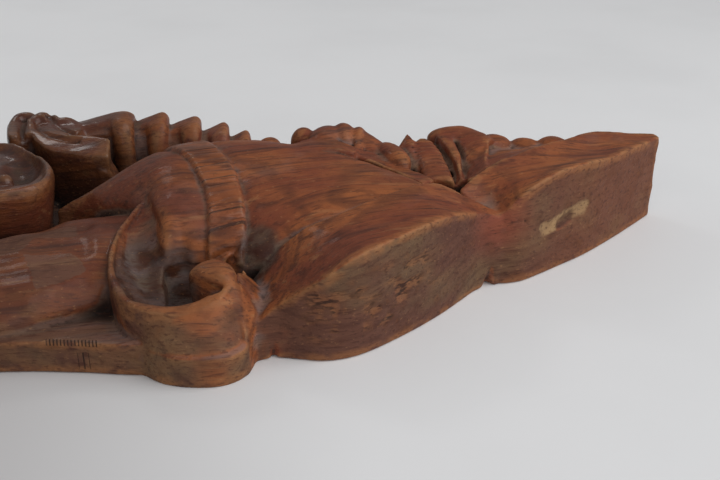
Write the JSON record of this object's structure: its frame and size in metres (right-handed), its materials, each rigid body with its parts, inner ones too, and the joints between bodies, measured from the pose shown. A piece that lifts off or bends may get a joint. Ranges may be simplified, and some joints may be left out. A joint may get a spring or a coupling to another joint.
{
  "type": "carved wall panel",
  "caption": "Deeply carved hardwood wall panel: strapped domed body, open loop with knob, scroll, toothed edge and overlapping leaves running to blunt tips.",
  "frame": {"origin": "on the flat back, under the middle of the panel's length, at the mount back", "axes": "+X along the panel towards the tip of the big leaves, +Y across it towards the toothed edge, +Z out of the carved face, away from the wall"},
  "size_m": [1, 0.3846, 0.1035],
  "materials": {
    "varnished_hardwood": "red-brown tropical hardwood under worn varnish, glossy on the raised forms, dull on the sawn sides, dusty in the hollows"
  },
  "bodies": {
    "root": {"carved_panel": "varnished_hardwood"}
  },
  "joints": []
}
